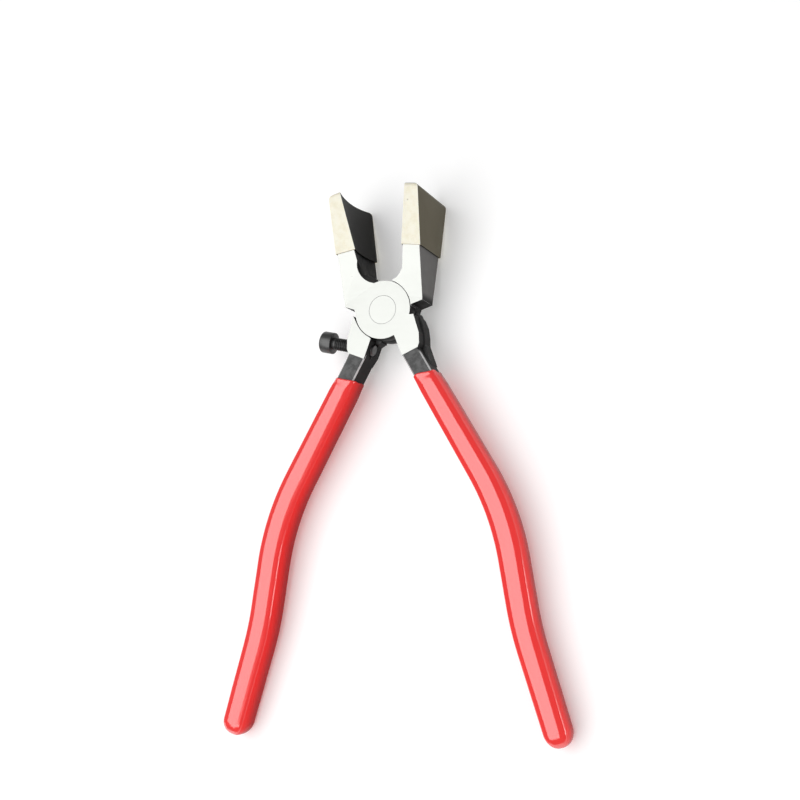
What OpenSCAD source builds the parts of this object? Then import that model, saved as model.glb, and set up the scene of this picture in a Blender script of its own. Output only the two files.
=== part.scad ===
// Running pliers for breaking scored glass: two mirrored steel levers in a lap joint, one with a
// hollow jaw and one with a crowned jaw, slip-on tip covers, dipped grips and a stop screw.
// Origin: centre of the joint's rear ground face, on the pivot axis. +Y to the jaws, +Z to the front face.

/* [Joint] */
// Thickness of the joint between its two ground faces
joint_t = 11; // [10:0.5:12]
// Diameter of each half-lap disc
disc_d = 22.9; // [22:0.1:23.4]
// Diameter of the flush pivot rivet
rivet_d = 11.3; // [8:0.1:12]
// Free space around each disc in the other lever
disc_clear = 0.33; // [0.25:0.01:0.5]
// Gap between the two discs at mid thickness
lap_gap = 0.1; // [0.04:0.02:0.2]

/* [Jaws] */
// Distance from the pivot to the end of the hollow steel jaw, along the jaw
jaw_reach = 47; // [42:0.2:50]
// Lean of the hollow jaw away from the centre line
hollow_jaw_lean = 8.2; // [7:0.1:9]
// Lean of the crowned jaw away from the centre line
crowned_jaw_lean = 8.8; // [7:0.1:9.4]
// Width of the steel jaw over its flared tip
tip_w = 29.2; // [24:0.2:32]
// Radius of the hollow and the crown across the jaw faces, over the covers
face_r = 62; // [50:1:80]
// Radius of the round throat beside the joint
throat_r = 6.6; // [6:0.1:7]

/* [Tip covers] */
// Wall thickness of the slip-on covers
cover_t = 0.6; // [0.5:0.1:1]
// Distance from the pivot to the mouth of each cover, along the jaw
cover_from = 25; // [24:0.5:28]

/* [Handles] */
// Width of the steel inside the grip
tang_w = 7.2; // [6:0.2:7.4]
// Thickness of the steel inside the grip
tang_t = 10.2; // [9:0.2:10.6]
// Width of the grip at its ends
grip_w = 8.6; // [8.4:0.1:9.6]
// Extra width of the grip at its fullest
grip_swell = 1; // [0:0.1:1.4]
// Thickness of the grip
grip_t = 12.4; // [12:0.1:14]
// Length of the grip along the handle
grip_len = 146; // [144:1:150]

/* [Stop screw] */
// Diameter of the screw thread
screw_d = 5; // [4.8:0.1:5]
// Diameter of the screw head
head_d = 8.5; // [8:0.1:9]
// Length of the screw head
head_len = 5; // [4:0.5:5.5]
// Length of the thread below the head
screw_len = 18; // [16:1:20]
// Size of the hexagon socket across its flats
socket_af = 4; // [3:0.5:4]

/* [Hidden] */
$fn = 96;

half_t = joint_t / 2;
disc_r = disc_d / 2;
rivet_r = rivet_d / 2;
rivet_fixed_gap = 0.01;   // the rivet is tight in the front lever
rivet_running_gap = 0.05; // and turns in the rear lever
screw_gap = 0.05;
fit_gap = 0.03;           // a slipped-on or dipped skin over its steel
far = 100;                // longer than anything that is cut

// The jaw's own frame: the jaw runs along +Y from the pivot, with its face towards +X.
hollow_heel_x = -15.5;
crowned_heel_x = -16;
heel_y = 4.9;
heel_step = [[-11.27, 1.02], [-11.71, 2.9]]; // from the joint out to the heel
blank_x = 3;              // the blank of the jaw ends here, ahead of every face
blank_y = 24;             // and above the throat
blank_root = [-0.8, 14];
tip_x = -11.5;
tip_corner_r = 1.5;
end_mid_x = -9;
hollow_end_slant = 14;    // the hollow jaw is longer at its face than at its back
crowned_extra = 0.4;      // the crowned jaw is this much longer
flare_extra = 0.5;        // the flare runs this far past the end of the hollow jaw's middle
flare_from = 5.8;         // where the flare leaves the ground faces
flare_knee = 22.6;        // where it grows slower
knee_half_w = 9.6;
flare_corner_r = 1;
hollow_throat = [0.45, 17.6];
hollow_throat_lean = -4.4; // the throat opens towards the front face
crowned_throat = [-0.3, 17.6];
// Each jaw face is part of a cylinder: [point it passes, at mid width], and its lean in the jaw's frame.
hollow_tip = [-8.8, 47.8];
hollow_lean = 5.4;
crown_tip = [-4.6, 46.6];
crown_lean = -2.4;
face_from = -31;          // the cylinders start this far below those points
crown_from_x = -2;        // nothing is cut from the crowned jaw behind this
// On the disc's side the ground face runs flat up to a slanting line through this point, then slopes
// up into the flare. The line's turn is that of a 44-117-125 triangle, whose sine and cosine are exact.
ground_to = [-1, 11.2];
ground_turn = atan2(44, 117);
ground_slope = 0.35;

// Handle root outline on the front lever's side, from its top corner down to the disc
root_outline = [[12.4, -1.4], [15, -10.3], [15.1, -14.2], [14.5, -15.9], [7.95, -18.6], [5.03, -11]];
beside_own_disc = [[2, -5], [9, -1.4]];
beside_other_disc = [[10.4, -5.6]]; // a notch widens upwards from here
shoulder_y = -2.9;        // the root stops here beside its own disc
shoulder_x = 8;
// The fuller, rounder outline that the root has in the joint's rear half
full_outline = [[11.2, -1.3], [12.1, -1.7], [13.7, -3.8], [15, -7], [15.5, -11], [15.5, -14],
                [18.3, -22.2], [15.5, -22.7], [9.2, -20.4], [6.7, -17], [5.6, -14.2], [4.4, -11]];
// Fillet between the rear lever's root and its disc
web_outline = [[5.2, -12.9], [4.2, -12.3], [2.9, -11.7], [2.5, -9], [6, -9]];

// Handle centre line: straight from the neck, a bend in at the knee, a straight waist, a bend out, straight
neck = [16.1, -25.85];
neck_heading = 29.8;
waist_heading = 9;
foot_heading = 16.9;
neck_len = 43.7;
knee_r = 96;
waist_len = 17;
foot_r = 113;
root_depth = 11.8;        // how far the tang starts above the grip's mouth
root_taper = 0.2;         // the tang is this much narrower there
tang_len = 138;
tang_end_taper = 1;       // the tang is this much smaller at its end
bevel = 0.5;              // bevel along the tang's edges
grip_bevel = [2.4, 1.1];  // slope beside the grip's flat, across and through
lip_t = 0.6;              // skin thickness at the grip's mouth
lip_bevel = [1.4, 1.2];
mouth_s = 1.5;           // a ring a little inside the mouth, where the grip is nearly full
mouth_bevel = [2, 1.2];
grip_end_r = 6;           // the grip's end is round over this length
grip_end_t = 3;           // the part of its thickness that is full until the very end
ring_step = 7;

// Stop screw: the centre of its bearing face, and the direction from head to point
screw_at = [-23.2, -10.3];
screw_heading = -13.7;
socket_depth = 2.5;
screw_chamfer = 0.6;

// ---- jaws ----

// Points of a round corner that turns from direction a0 to a1
function corner(c, r, a0, a1) = [for (i = [0:4]) c + r * [cos(a0 + (a1 - a0) * i / 4), sin(a0 + (a1 - a0) * i / 4)]];

function lean(hollow) = hollow ? hollow_jaw_lean : crowned_jaw_lean;

// A bare outline stays exact, so that the jaw's ground faces lie flush with the disc's
module grown(grow) {
    if (grow > 0) offset(delta = grow) children();
    else children();
}

module jaw_outline(hollow) {
    reach = hollow ? jaw_reach : jaw_reach + crowned_extra;
    slant = hollow ? hollow_end_slant : 0;
    // The end runs at an angle of slant through the middle of the jaw's thickness
    function end_y(x) = reach + (x - end_mid_x) * tan(slant);
    corner_x = tip_x + tip_corner_r;
    polygon(concat(
        [[0, 0]],
        heel_step,
        [[hollow ? hollow_heel_x : crowned_heel_x, heel_y]],
        corner([corner_x, end_y(corner_x) - tip_corner_r], tip_corner_r, 180, 90 + slant),
        [[blank_x, end_y(blank_x)], [blank_x, blank_y], blank_root]));
}

// The flare, as distance along the jaw and distance from mid width
module flare_outline() {
    end = jaw_reach + flare_extra;
    upper = concat(
        [[-far / 4, half_t], [flare_from, half_t], [flare_knee, knee_half_w]],
        corner([end - flare_corner_r, tip_w / 2 - flare_corner_r], flare_corner_r, 100, 0));
    lower = [for (i = [len(upper) - 1:-1:0]) [upper[i][0], -upper[i][1]]];
    polygon(concat(upper, lower));
}

// What lies in front of a jaw face; grow moves the face outwards
module before_hollow(grow) {
    translate(hollow_tip) rotate([-90, 0, hollow_lean])
        translate([face_r, 0, face_from]) cylinder(r = face_r + cover_t - grow, h = far);
}

module before_crown(grow) {
    translate(crown_tip) rotate([-90, 0, crown_lean])
        difference() {
            translate([crown_from_x, -far / 2, face_from]) cube([far, far, far]);
            translate([-face_r, 0, face_from - 1]) cylinder(r = face_r - cover_t + grow, h = far);
        }
}

// The jaw in its own frame at mid thickness, grown on every side by the thickness of a cover
module jaw(hollow, grow = 0) {
    difference() {
        intersection() {
            linear_extrude(far, center = true) grown(grow) jaw_outline(hollow);
            rotate([90, 0, 90]) linear_extrude(far, center = true) grown(grow) flare_outline();
        }
        if (hollow) before_hollow(grow);
        else before_crown(grow);
        translate(hollow ? hollow_throat : crowned_throat) rotate([0, hollow ? hollow_throat_lean : 0, 0])
            cylinder(r = throat_r, h = far, center = true);
    }
}

// The tip cover in the same place: a sleeve that is closed over the jaw's end
module cover(hollow) {
    rotate([0, 0, lean(hollow)]) intersection() {
        difference() {
            jaw(hollow, cover_t);
            jaw(hollow, fit_gap);
        }
        translate([-far / 2, cover_from, -far / 2]) cube(far);
    }
}

// ---- handles ----

function ahead(p, h, d) = p + d * [sin(h), -cos(h)];
function bend(p, h0, h1, r) = p + sign(h0 - h1) * r * [cos(h1) - cos(h0), sin(h1) - sin(h0)];
function bend_len(h0, h1, r) = abs(h0 - h1) * r * PI / 180;

knee_at = ahead(neck, neck_heading, neck_len);
waist_at = bend(knee_at, neck_heading, waist_heading, knee_r);
foot_at = ahead(waist_at, waist_heading, waist_len);
shin_at = bend(foot_at, waist_heading, foot_heading, foot_r);
waist_s = neck_len + bend_len(neck_heading, waist_heading, knee_r);
foot_s = waist_s + waist_len;
shin_s = foot_s + bend_len(waist_heading, foot_heading, foot_r);

// Heading of the handle at distance s from the grip's mouth, measured from -Y
function heading(s) =
    s < neck_len ? neck_heading
    : s < waist_s ? neck_heading + (waist_heading - neck_heading) * (s - neck_len) / (waist_s - neck_len)
    : s < foot_s ? waist_heading
    : s < shin_s ? waist_heading + (foot_heading - waist_heading) * (s - foot_s) / (shin_s - foot_s)
    : foot_heading;

// Point of the centre line at distance s
function centre(s) =
    s < neck_len ? ahead(neck, neck_heading, s)
    : s < waist_s ? bend(knee_at, neck_heading, heading(s), knee_r)
    : s < foot_s ? ahead(waist_at, waist_heading, s - waist_s)
    : s < shin_s ? bend(foot_at, waist_heading, heading(s), foot_r)
    : ahead(shin_at, foot_heading, s - shin_s);

// Bevelled rectangle across the handle at distance s: w across, t through, b the two legs of the bevel
function ring(s, w, t, b) =
    let (p = centre(s), h = heading(s), x = w / 2, z = t / 2, x1 = x - b[0], z1 = z - b[1])
    [for (q = [[x, z1], [x1, z], [-x1, z], [-x, z1], [-x, -z1], [-x1, -z], [x1, -z], [x, -z1]])
        [p[0] + q[0] * cos(h), p[1] + q[0] * sin(h), q[1]]];

// Solid with a skin stretched over rings of 8 points
module skin(rings) {
    m = 8;
    last = len(rings) - 1;
    points = [for (r = rings) each r];
    sides = [for (i = [0:last - 1], j = [0:m - 1])
        [i * m + j, (i + 1) * m + j, (i + 1) * m + (j + 1) % m, i * m + (j + 1) % m]];
    polyhedron(points, concat(
        [[for (j = [0:m - 1]) j]],
        sides,
        [[for (j = [m - 1:-1:0]) last * m + j]]));
}

function tang_rings(grow) = concat(
    [for (s = [0:ring_step:tang_len - 1]) ring(s, tang_w + 2 * grow, tang_t + 2 * grow, [bevel, bevel])],
    [ring(tang_len + grow, tang_w - tang_end_taper + 2 * grow, tang_t - tang_end_taper + 2 * grow, [bevel, bevel])]);

module tang() {
    skin(concat([ring(-root_depth, tang_w - root_taper, tang_t, [bevel, bevel])], tang_rings(0)));
}

// Width of the grip at distance s: fullest in the middle
function grip_w_at(s) = grip_w + grip_swell * sin(180 * s / grip_len);

module grip() {
    inner = tang_rings(fit_gap);
    end_s = grip_len - grip_end_r;
    mouth = [ring(0, tang_w + 2 * lip_t, tang_t + 2 * lip_t, lip_bevel),
             ring(mouth_s, grip_w, grip_t - 0.4, mouth_bevel)];
    body = [for (s = [ring_step / 2:ring_step:end_s - 2]) ring(s, grip_w_at(s), grip_t, grip_bevel)];
    end = [for (a = [0:22.5:67.5])
        ring(end_s + grip_end_r * sin(a), grip_w_at(end_s) * cos(a),
             (grip_t - grip_end_t) * cos(a) + grip_end_t * pow(cos(a), 0.5), grip_bevel * cos(a))];
    skin(concat([for (i = [len(inner) - 1:-1:0]) inner[i]], mouth, body, end));
}

// ---- levers ----

// What is ground away above the disc and beside it, in the jaw's frame
module above_joint() {
    translate(ground_to) rotate([0, 0, ground_turn]) rotate([90, 0, 90]) linear_extrude(far, center = true)
        polygon([[-far, half_t], [0, half_t], [far, half_t + far * ground_slope], [far, far], [-far, far]]);
}

// One forging at mid thickness: jaw to -X, handle to +X, disc in the front half. The hollow jaw's is
// the front lever. The crowned jaw's is turned over for the rear lever, so its rear half is in front here.
// It is built in the jaw's frame and leaned as a whole, so that its ground faces stay flush.
module forging(hollow, bore_gap) {
    upright = [0, 0, -lean(hollow)];
    rear_from = hollow ? -half_t : 0;
    rotate(-upright) difference() {
        union() {
            difference() {
                union() {
                    difference() {
                        jaw(hollow);
                        above_joint();
                    }
                    linear_extrude(half_t) rotate(upright) polygon(concat(root_outline, beside_own_disc));
                    translate([0, 0, -half_t]) linear_extrude(half_t)
                        rotate(upright) polygon(concat(root_outline, beside_other_disc));
                    translate([0, 0, rear_from]) linear_extrude(half_t) rotate(upright) polygon(full_outline);
                    rotate(upright) tang();
                }
                // Room for the other lever's disc
                translate([0, 0, lap_gap / 2 - far]) cylinder(r = disc_r + disc_clear, h = far);
                // The shoulder beside this lever's own disc
                rotate(upright) translate([shoulder_x, shoulder_y, lap_gap / 2]) cube([far, -shoulder_y, far]);
            }
            translate([0, 0, lap_gap / 2]) linear_extrude(half_t - lap_gap / 2) {
                circle(r = disc_r);
                if (!hollow) rotate(upright) polygon(web_outline);
            }
        }
        cylinder(r = rivet_r + bore_gap, h = far, center = true);
    }
}

module at_mid() { translate([0, 0, half_t]) children(); }

module at_screw() {
    at_mid() translate(screw_at) rotate([0, 90, screw_heading]) children();
}

module front_lever() {
    color("silver") at_mid() forging(true, rivet_fixed_gap);
}

module rear_lever() {
    color("gray") difference() {
        at_mid() rotate([0, 180, 0]) forging(false, rivet_running_gap);
        at_screw() cylinder(r = screw_d / 2 + screw_gap, h = far / 4);
    }
}

module pivot_rivet() {
    color("gainsboro") cylinder(r = rivet_r, h = joint_t);
}

module stop_screw() {
    head_r = head_d / 2;
    shank_r = screw_d / 2;
    color("dimgray") at_screw() difference() {
        rotate_extrude() polygon([
            [0, -head_len], [head_r - screw_chamfer, -head_len], [head_r, screw_chamfer - head_len],
            [head_r, 0], [shank_r, 0],
            [shank_r, screw_len - screw_chamfer], [shank_r - screw_chamfer, screw_len], [0, screw_len]]);
        translate([0, 0, -head_len - 1]) cylinder(d = socket_af / cos(30), h = socket_depth + 1, $fn = 6);
    }
}

module left_grip() { color("crimson") at_mid() mirror([1, 0, 0]) grip(); }
module right_grip() { color("crimson") at_mid() grip(); }
module left_tip_cover() { color("cornsilk") at_mid() cover(true); }
module right_tip_cover() { color("cornsilk") at_mid() rotate([0, 180, 0]) cover(false); }

front_lever();
rear_lever();
pivot_rivet();
stop_screw();
left_grip();
right_grip();
left_tip_cover();
right_tip_cover();
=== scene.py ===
"""Looks for the glass running pliers: camera, light, floor, materials and the finely shaped pieces."""

import math

import bmesh
import bpy
from mathutils import Matrix, Vector, noise
from mathutils.bvhtree import BVHTree


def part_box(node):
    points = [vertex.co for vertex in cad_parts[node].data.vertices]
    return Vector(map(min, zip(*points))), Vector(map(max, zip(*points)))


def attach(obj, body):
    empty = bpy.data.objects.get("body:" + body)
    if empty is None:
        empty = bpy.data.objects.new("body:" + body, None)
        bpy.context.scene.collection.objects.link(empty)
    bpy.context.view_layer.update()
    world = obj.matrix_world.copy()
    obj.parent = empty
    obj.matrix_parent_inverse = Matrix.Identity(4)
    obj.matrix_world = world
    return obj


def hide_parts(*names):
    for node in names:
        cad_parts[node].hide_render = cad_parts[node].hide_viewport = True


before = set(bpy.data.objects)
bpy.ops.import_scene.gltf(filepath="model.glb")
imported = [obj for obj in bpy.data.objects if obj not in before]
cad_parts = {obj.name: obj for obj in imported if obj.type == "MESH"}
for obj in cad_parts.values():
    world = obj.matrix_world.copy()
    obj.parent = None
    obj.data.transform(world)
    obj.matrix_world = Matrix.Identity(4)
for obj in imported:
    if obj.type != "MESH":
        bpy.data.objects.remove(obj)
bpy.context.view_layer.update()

MM = 0.001
UP = Vector((0, 0, 1))

# ---- sizes, in millimetres, as in the CAD source ----

JOINT_T = 11.0
MID = Vector((0, 0, JOINT_T / 2))
JOINT_FLAT = 5.3  # a face further than this from mid thickness is ground bright
NECK_Y = (-16.5, -18.5)  # the grey necks begin between these
JAW_Y = (3.0, 6.0)  # the jaws' grey sides begin between these
ROOT_Y = (-1.0, 3.0)  # the roots' dark sides end between these
ROOT_EDGE_Z = (4.2, 4.6)  # in the roots, edges nearer mid thickness than this aren't worn pale
RIVET_RIM = (5.40, 5.62)  # the rivet's grey rim, by radius

# Handle centre line: straight from the neck, a bend in, a straight waist, a bend out, straight
NECK = Vector((16.1, -25.85, 0))
NECK_HEADING = 29.8
WAIST_HEADING = 9.0
FOOT_HEADING = 16.9
NECK_LEN = 43.7
KNEE_R = 96.0
WAIST_LEN = 17.0
FOOT_R = 113.0

GRIP_LEN = 146.0
GRIP_W = 8.6
GRIP_SWELL = 1.0
GRIP_T = 12.4
GRIP_BEVEL = (2.4, 1.1)
GRIP_RADII = (0.6, 1.0)
GRIP_CROWN = 0.06
TANG_W = 7.2
TANG_T = 10.2
LIP_T = 0.6
GRIP_END_R = 6.0
GRIP_END_T = 3.0  # thickness of the blunt part of the round end
GRIP_STEPS = 130
GRIP_SAG = 0.07  # how far the skin wanders from its true width
MOUTH_LEN = 4.5  # from the thin lip to the full section
DIP_SKEW = 12.0  # the dip line leans this far from square to the handle, in degrees

SCREW_AT = Vector((-23.2, -10.3, 0))
SCREW_HEADING = -13.7
SCREW_D = 5.0
SCREW_PITCH = 0.8
SCREW_LEN = 18.0
HEAD_D = 8.5
HEAD_LEN = 5.0
SOCKET_AF = 4.0
SOCKET_DEPTH = 2.5
HEAD_ROUND = 0.8
SCREW_POINTS = 96  # points in each ring round the screw
THREAD_RINGS = 10  # rings in each pitch of the thread

COVER_T = 0.6
COVER_ROUND = 0.42
COVER_CORNER = 1.1  # radius of the corners at the tip, seen from the front
COVER_TIP = 7.0  # length of the tip region that holds those corners
COVER_REST = 22.0  # from a cover's mouth to where its back touches the floor
MOUTH_STEEL_Z = 10.1  # half thickness of the steel jaws at the covers' mouths

FLOOR_HALF = 3000.0
FLOOR_GAP = 0.2

# Lamps: place, aim and size in metres, then power in watts
SOFTBOX = ((-0.25, -0.20, 0.82), (0, -0.05, 0), (0.90, 1.50), 9.4)
FILL = ((0.9, -0.15, 0.16), (0, -0.03, 0), (0.25, 0.5), 2.2)
WORLD_STRENGTH = 0.30

# Camera, in metres: it looks down on the front face from above its lower right side
CAMERA_AT = Vector((0.18412, -0.11045, 0.43134))
CAMERA_RIGHT = Vector((0.9212, -0.0064, -0.389))
CAMERA_UP = Vector((0.0686, 0.9869, 0.1463))
LENS = 54.88
SENSOR_W = 36.0


# ---- small helpers for node trees ----


class Look:
    """A material, and short ways to add and join its nodes."""

    def __init__(self, name):
        self.material = bpy.data.materials.new(name)
        self.material.use_nodes = True
        self.tree = self.material.node_tree
        self.shader = self.tree.nodes["Principled BSDF"]

    def node(self, kind, values=None, **settings):
        made = self.tree.nodes.new("ShaderNode" + kind)
        for key, value in settings.items():
            setattr(made, key, value)
        for key, value in (values or {}).items():
            self.put(made.inputs[key], value)
        return made

    def put(self, socket, value):
        if isinstance(value, bpy.types.NodeSocket):
            self.tree.links.new(value, socket)
        else:
            socket.default_value = value

    def set(self, **values):
        for key, value in values.items():
            self.put(self.shader.inputs[key.replace("_", " ")], value)

    def math(self, operation, a, b=0.0):
        return self.node("Math", {0: a, 1: b}, operation=operation).outputs[0]

    def step(self, value, low, high):
        """0 below low, 1 above high, smooth between."""
        made = self.node(
            "MapRange", {"Value": value, "From Min": low, "From Max": high}, interpolation_type="SMOOTHSTEP"
        )
        return made.outputs["Result"]

    def blend(self, share, a, b):
        """Colour a where share is 0, colour b where it is 1."""
        made = self.node("Mix", {0: share, 6: a, 7: b}, data_type="RGBA")
        return made.outputs[2]

    def between(self, share, a, b):
        """Number a where share is 0, number b where it is 1."""
        return self.node("Mix", {0: share, 2: a, 3: b}, data_type="FLOAT").outputs[0]

    def place(self, scale=(1, 1, 1)):
        """Where the point is in the piece's own frame, stretched by scale."""
        coordinates = self.node("TexCoord").outputs["Object"]
        return self.node("Mapping", {"Vector": coordinates, "Scale": scale}).outputs[0]

    def axis(self, vector, name):
        return self.node("SeparateXYZ", {0: vector}).outputs[name]

    def off_mid(self):
        """Distance from mid thickness."""
        return self.math("ABSOLUTE", self.math("SUBTRACT", self.axis(self.place(), "Z"), MID.z * MM))

    def step_mm(self, value, limits):
        """As step, with both limits in millimetres."""
        return self.step(value, limits[0] * MM, limits[1] * MM)

    def facing(self):
        """The surface's direction in the piece's own frame."""
        normal = self.node("NewGeometry").outputs["Normal"]
        turned = self.node(
            "VectorTransform", {0: normal}, vector_type="NORMAL", convert_from="WORLD", convert_to="OBJECT"
        )
        return turned.outputs[0]

    def turned_in(self):
        """1 on surfaces that face the middle plane between the jaws, 0 on those that face outwards."""
        across = self.math("MULTIPLY", self.axis(self.facing(), "X"), self.axis(self.place(), "X"))
        return self.step(across, 0.0, -0.001)

    def noise(self, scale, detail=3.0, place=None, roughness=0.5):
        made = self.node("TexNoise", {"Scale": scale, "Detail": detail, "Roughness": roughness})
        self.put(made.inputs["Vector"], place or self.place())
        return made.outputs["Fac"]

    def bump(self, height, distance, strength=1.0, below=None):
        made = self.node("Bump", {"Height": height, "Distance": distance, "Strength": strength})
        if below:
            self.put(made.inputs["Normal"], below)
        return made.outputs[0]

    def edge_wear_and_highlight(self, radius, low, high):
        """Near 1 on convex and concave edges, 0 on open faces."""
        rounded = self.node("Bevel", {"Radius": radius}, samples=6).outputs[0]
        flat = self.node("NewGeometry").outputs["Normal"]
        same = self.node("VectorMath", {0: rounded, 1: flat}, operation="DOT_PRODUCT").outputs["Value"]
        return self.step(self.math("SUBTRACT", 1.0, same), low, high)


def grey(value, warm=0.0):
    return (value * (1 + warm), value, value * (1 - warm), 1.0)


# ---- materials ----


def steel_look():
    """Forged steel: bright ground faces, dark scaled sides, mottled grey necks, pale edges that are partly
    worn and partly a painted highlight, and painted shade on the jaws' inner faces.
    """
    look = Look("forged_steel")
    height = look.off_mid()
    upright = look.math("ABSOLUTE", look.axis(look.facing(), "Z"))
    length = look.axis(look.place(), "Y")
    on_neck = look.step_mm(length, NECK_Y)
    level = look.step(upright, 0.72, 0.86)
    ground = look.math("MULTIPLY", level, look.step_mm(height, (JOINT_FLAT - 0.05, JOINT_FLAT)))

    # Ground faces: fine lines across the jaws
    lines = look.noise(900.0, 4.0, look.place((0.12, 1.0, 1.0)))
    clouds = look.noise(70.0, 3.0)
    ground_colour = look.blend(clouds, (0.49, 0.50, 0.475, 1), (0.54, 0.55, 0.525, 1))
    ground_rough = look.between(lines, 0.24, 0.36)

    # Sides and underfaces: dark scale
    scale_spots = look.noise(420.0, 5.0, roughness=0.65)
    scale_clouds = look.noise(55.0, 2.0)
    root_colour = look.blend(scale_clouds, grey(0.007, 0.02), grey(0.014, 0.03))
    jaw_colour = look.blend(scale_clouds, grey(0.095, 0.02), grey(0.13, 0.04))
    # The jaws' inner faces, which face each other, keep the roots' near-black: painted shade between the jaws
    outside = look.math("SUBTRACT", 1.0, look.turned_in())
    on_jaw = look.math("MULTIPLY", look.step_mm(length, JAW_Y), outside)
    side_colour = look.blend(on_jaw, root_colour, jaw_colour)
    # Necks: the same scale, rubbed grey where it faces front and back
    neck_colour = look.blend(look.step(scale_spots, 0.35, 0.68), grey(0.052), grey(0.105))
    dark_colour = look.blend(level, side_colour, neck_colour)
    dark_rough = look.between(scale_spots, 0.38, 0.62)

    colour = look.blend(ground, dark_colour, ground_colour)
    rough = look.between(ground, dark_rough, ground_rough)

    # Edges are pale: worn in random patches, and all along the necks as a painted highlight, but not deep in
    # the roots' sides
    patches = look.math("MAXIMUM", look.step(look.noise(260.0, 3.0), 0.3, 0.62), on_neck)
    exposed = look.math("MAXIMUM", look.step_mm(height, ROOT_EDGE_Z), look.step_mm(length, ROOT_Y))
    patches = look.math("MULTIPLY", patches, exposed)
    wear = look.math("MULTIPLY", look.edge_wear_and_highlight(0.00022, 0.03, 0.14), patches)
    colour = look.blend(look.math("MULTIPLY", wear, 0.75), colour, grey(0.66))
    sloping = look.math("MULTIPLY", look.step(upright, 0.35, 0.5), look.step(upright, 0.9, 0.8))
    rubbed = look.math("MULTIPLY", look.math("MULTIPLY", sloping, on_neck), look.step(scale_spots, 0.25, 0.5))
    colour = look.blend(rubbed, colour, grey(0.55))

    coarse = look.bump(scale_spots, 0.00005, 0.5)
    look.set(
        Base_Color=colour,
        Metallic=look.between(ground, look.between(level, 0.3, 0.55), 0.6),
        Specular_IOR_Level=look.between(level, 0.08, 0.4),
        Roughness=rough,
        Normal=look.bump(lines, 0.000004, 0.6, below=coarse),
    )
    return look.material


def rivet_look():
    """The rivet's ground ends, a shade greyer at the rim."""
    look = Look("rivet_steel")
    place = look.place()
    across = look.node("VectorMath", {0: place, 1: (1, 1, 0)}, operation="MULTIPLY").outputs[0]
    radius = look.node("VectorMath", {0: across}, operation="LENGTH").outputs["Value"]
    rim = look.step_mm(radius, RIVET_RIM)
    lines = look.noise(900.0, 4.0, look.place((0.12, 1.0, 1.0)))
    look.set(
        Base_Color=look.blend(rim, (0.515, 0.525, 0.50, 1), grey(0.2)),
        Metallic=0.6,
        Roughness=look.between(lines, 0.24, 0.36),
        Normal=look.bump(lines, 0.000004, 0.6),
    )
    return look.material


def cover_look():
    """Slip-on cover: thin cream plastic, through which the dark sides of the jaw show brown; its rounded
    edges are paler, a painted highlight, and the sides that face the other jaw are near black, painted shade.
    """
    look = Look("tip_cover")
    upright = look.math("ABSOLUTE", look.axis(look.facing(), "Z"))
    level = look.step(upright, 0.45, 0.8)
    clouds = look.noise(120.0, 4.0)
    stains = look.step(look.noise(330.0, 5.0, roughness=0.7), 0.3, 0.62)
    cream = look.blend(stains, (0.765, 0.72, 0.56, 1), (0.82, 0.79, 0.66, 1))
    # Rounded edges are a paler cream: a painted highlight
    edge = look.edge_wear_and_highlight(0.00055, 0.03, 0.12)
    cream = look.blend(look.math("MULTIPLY", edge, 0.8), cream, (0.90, 0.885, 0.80, 1))
    brown = look.blend(clouds, (0.085, 0.074, 0.048, 1), (0.11, 0.097, 0.066, 1))
    # Sides that face the other jaw are near black: painted shade between the jaws
    brown = look.blend(look.turned_in(), brown, (0.016, 0.015, 0.013, 1))
    # The wall's end at the mouth shows as a thin tan line at the front and the back
    wall_end = look.math(
        "MULTIPLY",
        look.step(look.axis(look.facing(), "Y"), -0.3, -0.6),
        look.step_mm(look.off_mid(), (MOUTH_STEEL_Z - 0.1, MOUTH_STEEL_Z)),
    )
    brown = look.blend(wall_end, brown, (0.50, 0.42, 0.26, 1))
    specks = look.node("TexVoronoi", {"Vector": look.place(), "Scale": 260.0, "Randomness": 1.0})
    speck = look.math(
        "MULTIPLY",
        look.step(specks.outputs["Distance"], 0.11, 0.06),
        look.step(look.axis(specks.outputs["Color"], "X"), 0.74, 0.76),
    )
    speck = look.math("MULTIPLY", speck, look.math("MULTIPLY", level, 0.8))
    colour = look.blend(speck, look.blend(level, brown, cream), (0.12, 0.08, 0.04, 1))
    look.set(
        Base_Color=colour,
        Roughness=look.between(level, 0.6, look.between(clouds, 0.28, 0.42)),
        Subsurface_Weight=look.math("MULTIPLY", level, 0.15),
        Subsurface_Radius=(0.8, 0.6, 0.35),
        Subsurface_Scale=0.0008,
        Specular_IOR_Level=look.between(level, 0.15, 0.5),
        Coat_Weight=look.math("MULTIPLY", level, 0.25),
        Coat_Roughness=0.2,
        Normal=look.bump(look.noise(300.0, 3.0), 0.00004, 0.5),
    )
    return look.material


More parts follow.
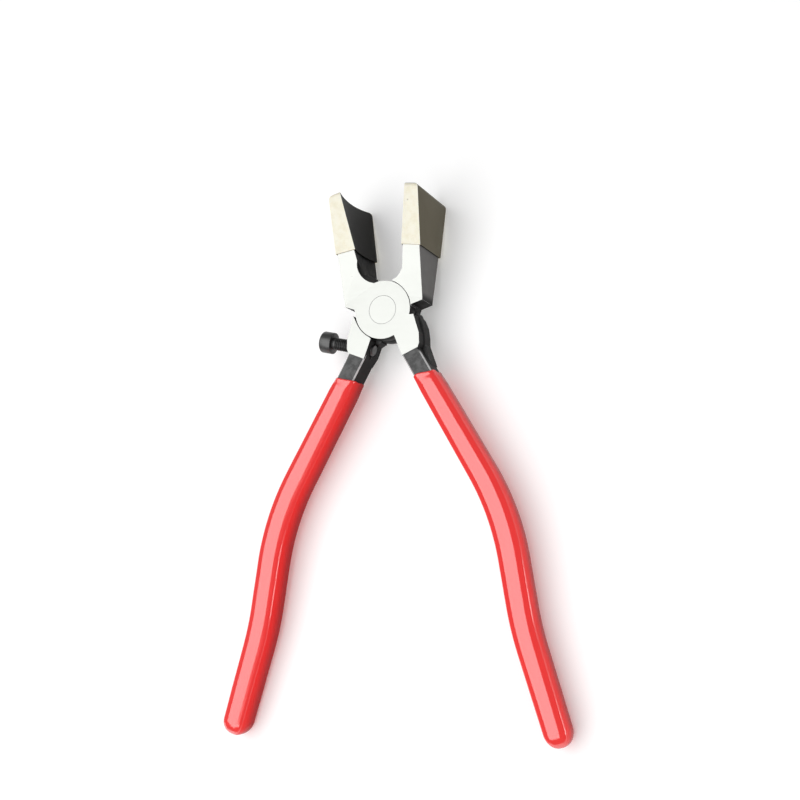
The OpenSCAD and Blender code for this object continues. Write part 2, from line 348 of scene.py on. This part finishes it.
def grip_look():
    """Dipped skin: glossy red, with a slow change of tone and a faint waviness."""
    look = Look("red_grip")
    tone = look.noise(40.0, 3.0)
    fine = look.noise(1400.0, 2.0)
    # The front and the back shine; the sides are duller, and their red is painted shade: darker than the
    # front, and darker still towards the back
    facing_front_back = look.step(look.math("ABSOLUTE", look.axis(look.facing(), "Z")), 0.1, 0.7)
    forward = look.step_mm(look.axis(look.place(), "Z"), (MID.z - 3.5, MID.z + 5))
    bright = look.blend(tone, (0.84, 0.010, 0.010, 1), (0.92, 0.018, 0.014, 1))
    painted_shade_red = look.blend(tone, (0.32, 0.001, 0.003, 1), (0.38, 0.002, 0.005, 1))
    look.set(
        Base_Color=look.blend(look.math("MAXIMUM", facing_front_back, forward), painted_shade_red, bright),
        Roughness=look.between(look.noise(160.0, 3.0), 0.13, 0.21),
        Specular_IOR_Level=look.between(facing_front_back, 0.06, 1.0),
        Subsurface_Weight=0.08,
        Subsurface_Radius=(1.0, 0.25, 0.2),
        Subsurface_Scale=0.001,
        Coat_Weight=look.between(facing_front_back, 0.05, 1.0),
        Coat_Roughness=0.08,
        Normal=look.bump(fine, 0.000006, 0.5, below=look.bump(look.noise(90.0, 2.0), 0.00006, 0.35)),
    )
    return look.material


def screw_look():
    """Black oxide, a little rubbed on its edges."""
    look = Look("black_oxide_screw")
    spots = look.noise(800.0, 4.0)
    patches = look.step(look.noise(600.0, 3.0), 0.4, 0.7)
    wear = look.math("MULTIPLY", look.edge_wear_and_highlight(0.00012, 0.05, 0.2), patches)
    oxide = look.blend(spots, grey(0.07), grey(0.12))
    look.set(
        Base_Color=look.blend(look.math("MULTIPLY", wear, 0.5), oxide, grey(0.4)),
        Metallic=0.8,
        Roughness=look.between(spots, 0.3, 0.45),
        Normal=look.bump(spots, 0.00001, 0.5),
    )
    return look.material


def paper_look():
    """The pale floor, faintly self-lit so that it stays near white."""
    look = Look("floor")
    look.set(
        Base_Color=look.blend(look.noise(6.0, 2.0), grey(0.9), grey(0.92)),
        Emission_Color=grey(1.0),
        Emission_Strength=0.15,
        Roughness=0.9,
        Specular_IOR_Level=0.1,
    )
    return look.material


# ---- pieces ----


def shown(name, points, faces, body, node, material):
    """Makes a piece from points in millimetres, and lets it stand for a CAD node."""
    mesh = bpy.data.meshes.new(name)
    mesh.from_pydata([p * MM for p in points], [], faces)
    mesh.materials.append(material)
    mesh.shade_smooth()
    piece = bpy.data.objects.new(name, mesh)
    bpy.context.scene.collection.objects.link(piece)
    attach(piece, body)
    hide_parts(node)
    return piece


def joined(rings):
    """Points and faces of a skin over rings of equal count, closed at both ends."""
    count = len(rings[0])
    points = [p for ring in rings for p in ring]
    faces = []
    for i in range(len(rings) - 1):
        for j in range(count):
            k = (j + 1) % count
            faces.append((i * count + j, (i + 1) * count + j, (i + 1) * count + k, i * count + k))
    faces.append(tuple(range(count)))
    last = (len(rings) - 1) * count
    faces.append(tuple(last + j for j in reversed(range(count))))
    return points, faces


def along(heading):
    """Direction down a handle, heading degrees away from -Y."""
    h = math.radians(heading)
    return Vector((math.sin(h), -math.cos(h), 0))


def side(heading):
    """Direction square to along(), outwards."""
    h = math.radians(heading)
    return Vector((math.cos(h), math.sin(h), 0))


KNEE_S = NECK_LEN
WAIST_S = KNEE_S + math.radians(NECK_HEADING - WAIST_HEADING) * KNEE_R
FOOT_S = WAIST_S + WAIST_LEN
SHIN_S = FOOT_S + math.radians(FOOT_HEADING - WAIST_HEADING) * FOOT_R


def bend(start, h0, h1, radius):
    """Where an arc from start ends, turning from heading h0 to h1."""
    turn = 1 if h0 > h1 else -1
    return start + turn * radius * (side(h1) - side(h0))


def centre(s):
    """Point and heading of the handle's centre line at distance s from the grip's mouth."""
    knee = NECK + along(NECK_HEADING) * NECK_LEN
    waist = bend(knee, NECK_HEADING, WAIST_HEADING, KNEE_R)
    foot = waist + along(WAIST_HEADING) * WAIST_LEN
    shin = bend(foot, WAIST_HEADING, FOOT_HEADING, FOOT_R)
    if s < KNEE_S:
        return NECK + along(NECK_HEADING) * s, NECK_HEADING
    if s < WAIST_S:
        h = NECK_HEADING - math.degrees((s - KNEE_S) / KNEE_R)
        return bend(knee, NECK_HEADING, h, KNEE_R), h
    if s < FOOT_S:
        return waist + along(WAIST_HEADING) * (s - WAIST_S), WAIST_HEADING
    if s < SHIN_S:
        h = WAIST_HEADING + math.degrees((s - FOOT_S) / FOOT_R)
        return bend(foot, WAIST_HEADING, h, FOOT_R), h
    return shin + along(FOOT_HEADING) * (s - SHIN_S), FOOT_HEADING


CORNER_STEPS = 6
FLAT_STEPS = 3
BULGES = {1: (0, 1), 3: (-4, 0), 5: (0, -1), 7: (4, 0)}  # front, left, back and right, by corner number


def octagon(w, t, bevel, radii, crown):
    """Bevelled rectangle with rounded corners: radii at the front ridges and at the side edges.

    The front and the back bulge by crown, the sides by four times as much.
    """
    x, z = w / 2, t / 2
    x1, z1 = max(x - bevel[0], 0.02), max(z - bevel[1], 0.02)
    ridge, edge = radii
    corners = [(x, z1, edge), (x1, z, ridge), (-x1, z, ridge), (-x, z1, edge)]
    corners += [(-x, -z1, edge), (-x1, -z, ridge), (x1, -z, ridge), (x, -z1, edge)]
    points = [Vector((c[0], c[1])) for c in corners]
    section = []
    for i, corner in enumerate(points):
        before, after = points[i - 1], points[(i + 1) % 8]
        reach = min(corners[i][2], (before - corner).length * 0.45, (after - corner).length * 0.45)
        a = corner + (before - corner).normalized() * reach
        b = corner + (after - corner).normalized() * reach
        for step in range(CORNER_STEPS + 1):
            u = step / CORNER_STEPS
            section.append(a * (1 - u) ** 2 + corner * 2 * u * (1 - u) + b * u * u)
        next_reach = min(corners[(i + 1) % 8][2], (after - corner).length * 0.45)
        c = after + (corner - after).normalized() * next_reach
        bulge = Vector(BULGES.get(i, (0, 0)))
        for step in range(1, FLAT_STEPS + 1):
            u = step / (FLAT_STEPS + 1)
            section.append(b * (1 - u) + c * u + bulge * crown * 4 * u * (1 - u))
    return section


def grip(name, body, node, flip, material, seed):
    """A dipped grip: thin uneven lip at the mouth, full octagon along the handle, round end."""

    def ring(s, w, t, bevel, radii=GRIP_RADII, crown=0.0, skew=0.0, wave=0.0):
        p, h = centre(s)
        made = []
        for q in octagon(w, t, bevel, radii, crown):
            shift = skew * q.x * math.tan(math.radians(DIP_SKEW))
            if wave:
                turn = math.atan2(q.y, q.x)
                shift += wave * noise.noise(Vector((math.cos(turn), math.sin(turn), seed)) * 1.3)
            point = p + side(h) * q.x + along(h) * shift + UP * q.y
            made.append(Vector((point.x * flip, point.y, point.z)) + MID)
        return made

    def width(s):
        return GRIP_W + GRIP_SWELL * math.sin(math.pi * s / GRIP_LEN)

    # From inside the mouth, against the steel, out over the thin lip
    steel = (1.0, 1.0)
    rings = [
        ring(7.0, TANG_W + 0.1, TANG_T + 0.1, steel, (0.3, 0.3)),
        ring(0.6, TANG_W + 0.1, TANG_T + 0.1, steel, (0.3, 0.3), 0, 1, 0.9),
        ring(0.12, TANG_W + 0.25, TANG_T + 0.25, steel, (0.4, 0.4), 0, 1, 0.9),
        ring(0.0, TANG_W + LIP_T, TANG_T + LIP_T, (1.2, 1.2), (0.5, 0.5), 0, 1, 0.9),
        ring(0.1, TANG_W + 2 * LIP_T - 0.25, TANG_T + 2 * LIP_T - 0.25, (1.3, 1.3), (0.6, 0.6), 0, 1, 0.9),
        ring(0.5, TANG_W + 2 * LIP_T, TANG_T + 2 * LIP_T, (1.4, 1.2), (0.6, 0.7), 0, 1, 0.8),
    ]
    # The lip swells to the full section
    for i in range(1, 9):
        u = i / 8
        ease = u * u * (3 - 2 * u)
        w = (TANG_W + 2 * LIP_T) * (1 - ease) + width(0) * ease
        t = (TANG_T + 2 * LIP_T) * (1 - ease) + GRIP_T * ease
        bevel = (1.4 + (GRIP_BEVEL[0] - 1.4) * ease, 1.2 + (GRIP_BEVEL[1] - 1.2) * ease)
        rings.append(
            ring(0.5 + MOUTH_LEN * u, w, t, bevel, GRIP_RADII, GRIP_CROWN * ease, 1 - ease, 0.8 * (1 - ease))
        )
    # The long body, then the round end
    body_from, body_to = 6.0, GRIP_LEN - GRIP_END_R
    for i in range(GRIP_STEPS + 1):
        s = body_from + (body_to - body_from) * i / GRIP_STEPS
        sag = GRIP_SAG * noise.noise(Vector((s * 0.09, seed * 7.0, 0)))
        rings.append(ring(s, width(s) + sag, GRIP_T + sag, GRIP_BEVEL, GRIP_RADII, GRIP_CROWN))
    for i in range(1, 15):
        a = math.radians(6.2 * i)
        c = math.cos(a)
        s = body_to + GRIP_END_R * math.sin(a)
        w = width(body_to) * c**0.9
        t = (GRIP_T - GRIP_END_T) * c + GRIP_END_T * c**0.5
        bevel = (GRIP_BEVEL[0] * c, GRIP_BEVEL[1] * c)
        rings.append(ring(s, w, t, bevel, GRIP_RADII, GRIP_CROWN * c))
    points, faces = joined(rings)
    if flip < 0:
        faces = [tuple(reversed(f)) for f in faces]
    shown(name, points, faces, body, node, material)


def screw(material):
    """Socket head cap screw: rounded head, hexagon socket and a real thread."""
    head_r, shank_r = HEAD_D / 2, SCREW_D / 2
    depth = 0.61 * SCREW_PITCH

    def hexagon(angle):
        across = math.radians(60)
        return SOCKET_AF / 2 / math.cos((angle % across) - across / 2)

    def round_ring(z, r):
        return [Vector((r * math.cos(t), r * math.sin(t), z)) for t in angles]

    def hex_ring(z, grow):
        radii = [hexagon(t) + grow for t in angles]
        return [Vector((r * math.cos(t), r * math.sin(t), z)) for r, t in zip(radii, angles)]

    def thread_ring(z, least):
        made = []
        for t in angles:
            phase = (z / SCREW_PITCH - t / (2 * math.pi)) % 1.0
            cut = max(0.0, 1 - abs(phase - 0.5) * 2.4)
            fade = min(1.0, max(0.0, (z - 0.9) / 0.8))
            r = min(shank_r - depth * cut * fade, least)
            made.append(Vector((r * math.cos(t), r * math.sin(t), z)))
        return made

    angles = [2 * math.pi * i / SCREW_POINTS for i in range(SCREW_POINTS)]
    rings = [
        round_ring(-HEAD_LEN + SOCKET_DEPTH + 0.4, 0.05),
        hex_ring(-HEAD_LEN + SOCKET_DEPTH, -0.1),
        hex_ring(-HEAD_LEN + 0.25, 0.0),
        hex_ring(-HEAD_LEN, 0.18),
        round_ring(-HEAD_LEN, head_r - 0.95),
    ]
    for i in range(7):
        a = math.radians(15 * i)
        top = -HEAD_LEN + HEAD_ROUND * (1 - math.cos(a))
        rings.append(round_ring(top, head_r - HEAD_ROUND * (1 - math.sin(a))))
    rings += [
        round_ring(-0.2, head_r),
        round_ring(-0.05, head_r - 0.08),
        round_ring(0, head_r - 0.25),
        round_ring(0, shank_r + 0.2),
        round_ring(0.2, shank_r),
    ]
    # The thread
    steps = int(SCREW_LEN / SCREW_PITCH * THREAD_RINGS)
    for i in range(3, steps + 1):
        z = SCREW_LEN * i / steps
        rings.append(thread_ring(z, shank_r - max(0.0, z - SCREW_LEN + 0.6)))
    points, faces = joined(rings)
    turn = Matrix.Rotation(math.radians(SCREW_HEADING), 4, "Z") @ Matrix.Rotation(math.radians(90), 4, "Y")
    points = [turn @ p + SCREW_AT + MID for p in points]
    piece = shown("threaded_screw", points, faces, "adjuster", "stop_screw", material)
    sharpen(piece, 40)


def sharpen(piece, angle):
    """Keeps edges steeper than angle crisp in the smooth shading."""
    made = bmesh.new()
    made.from_mesh(piece.data)
    for edge in made.edges:
        edge.smooth = not (len(edge.link_faces) == 2 and edge.calc_face_angle(0) > math.radians(angle))
    made.to_mesh(piece.data)
    made.free()


def sleeve(name, body, node, lever, material):
    """A tip cover as moulded: the CAD sleeve with the edges of its outside rounded."""
    steel = bmesh.new()
    steel.from_mesh(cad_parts[lever].data)
    steel_tree = BVHTree.FromBMesh(steel)
    steel.free()
    made = bmesh.new()
    made.from_mesh(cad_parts[node].data)
    bmesh.ops.remove_doubles(made, verts=made.verts, dist=0.002 * MM)
    bmesh.ops.dissolve_limit(made, angle_limit=math.radians(1), verts=made.verts, edges=made.edges)
    tip_y = max(v.co.y for v in made.verts) - COVER_TIP * MM

    def outer_edges():
        outside = {v for v in made.verts if steel_tree.find_nearest(v.co)[3] > COVER_T / 2 * MM}
        steep = math.radians(25)
        return [e for e in made.edges if outside.issuperset(e.verts) and e.calc_face_angle(0) > steep]

    def at_tip_corner(edge):
        a, b = (v.co for v in edge.verts)
        return min(a.y, b.y) > tip_y and abs(a.z - b.z) > 0.8 * (a - b).length

    def round_off(edges, radius):
        bmesh.ops.bevel(
            made, geom=edges, offset=radius * MM, segments=4, profile=0.5, affect="EDGES", clamp_overlap=True
        )

    round_off([e for e in outer_edges() if at_tip_corner(e)], COVER_CORNER)
    round_off(outer_edges(), COVER_ROUND)
    mesh = bpy.data.meshes.new(name)
    made.to_mesh(mesh)
    made.free()
    mesh.materials.append(material)
    mesh.shade_smooth()
    piece = bpy.data.objects.new(name, mesh)
    bpy.context.scene.collection.objects.link(piece)
    sharpen(piece, 30)
    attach(piece, body)
    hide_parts(node)


def soften(node, width, segments, angle):
    """Rounds a CAD node's edges a little, with modifiers only."""
    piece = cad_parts[node]
    weld = piece.modifiers.new("weld", "WELD")
    weld.merge_threshold = 0.000002
    flat = piece.modifiers.new("flat", "DECIMATE")
    flat.decimate_type = "DISSOLVE"
    flat.angle_limit = math.radians(0.5)
    rounding = piece.modifiers.new("rounding", "BEVEL")
    rounding.width = width * MM
    rounding.segments = segments
    rounding.limit_method = "ANGLE"
    rounding.angle_limit = math.radians(angle)
    rounding.harden_normals = True
    rounding.use_clamp_overlap = True


def dress(node, material):
    """Gives a CAD node its material and slot."""
    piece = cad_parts[node]
    piece.data.materials.clear()
    piece.data.materials.append(material)


# ---- light, floor and camera ----


def area(name, at, aim, size, power):
    """A rectangular lamp at one point, facing another, with its short side across."""
    light = bpy.data.lights.new(name, "AREA")
    light.shape = "RECTANGLE"
    light.size, light.size_y = size
    light.energy = power
    lamp = bpy.data.objects.new(name, light)
    back = (Vector(at) - Vector(aim)).normalized()
    across = Vector((0, 1, 0)).cross(back).normalized()
    axes = Matrix((across, back.cross(across), back)).transposed().to_4x4()
    lamp.matrix_world = Matrix.Translation(at) @ axes
    bpy.context.scene.collection.objects.link(lamp)


def studio():
    world = bpy.data.worlds.new("studio")
    bpy.context.scene.world = world
    world.use_nodes = True
    background = world.node_tree.nodes["Background"]
    background.inputs["Color"].default_value = (1, 1, 1, 1)
    background.inputs["Strength"].default_value = WORLD_STRENGTH
    area("softbox", *SOFTBOX)
    area("fill", *FILL)


def lay_floor(material):
    """A pale sheet just under the object, tilted to meet the tip covers' backs and the grips' ends."""
    tip_lo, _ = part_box("left_tip_cover")
    grip_lo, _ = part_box("left_grip")
    far_y, near_y = tip_lo.y + COVER_REST * MM, grip_lo.y + GRIP_END_R * MM
    rise = (grip_lo.z - tip_lo.z) / (far_y - near_y)
    half = FLOOR_HALF * MM
    corners = [(-half, -half), (half, -half), (half, half), (-half, half)]
    points = [Vector((x, y, tip_lo.z - FLOOR_GAP * MM - (y - far_y) * rise)) for x, y in corners]
    mesh = bpy.data.meshes.new("floor")
    mesh.from_pydata(points, [], [(0, 1, 2, 3)])
    mesh.materials.append(material)
    sheet = bpy.data.objects.new("floor", mesh)
    bpy.context.scene.collection.objects.link(sheet)


def place_camera():
    right = CAMERA_RIGHT.normalized()
    back = right.cross(CAMERA_UP).normalized()
    data = bpy.data.cameras.new("camera")
    data.lens = LENS
    data.sensor_width = SENSOR_W
    data.clip_start, data.clip_end = 0.01, 20.0
    camera = bpy.data.objects.new("camera", data)
    bpy.context.scene.collection.objects.link(camera)
    axes = Matrix((right, back.cross(right), back)).transposed().to_4x4()
    camera.matrix_world = Matrix.Translation(CAMERA_AT) @ axes
    bpy.context.scene.camera = camera


# ---- the scene ----

steel, rivet, cover = steel_look(), rivet_look(), cover_look()
red, black = grip_look(), screw_look()

for lever in ("front_lever", "rear_lever"):
    soften(lever, 0.16, 2, 20)
    dress(lever, steel)
soften("pivot_rivet", 0.12, 2, 30)
dress("pivot_rivet", rivet)
sleeve("slip_on_cover_left", "front_half", "left_tip_cover", "front_lever", cover)
sleeve("slip_on_cover_right", "rear_half", "right_tip_cover", "rear_lever", cover)
grip("dipped_grip_right", "front_half", "right_grip", 1, red, 3.0)
grip("dipped_grip_left", "rear_half", "left_grip", -1, red, 8.0)
screw(black)

studio()
lay_floor(paper_look())
place_camera()
bpy.context.scene.view_settings.view_transform = "Standard"
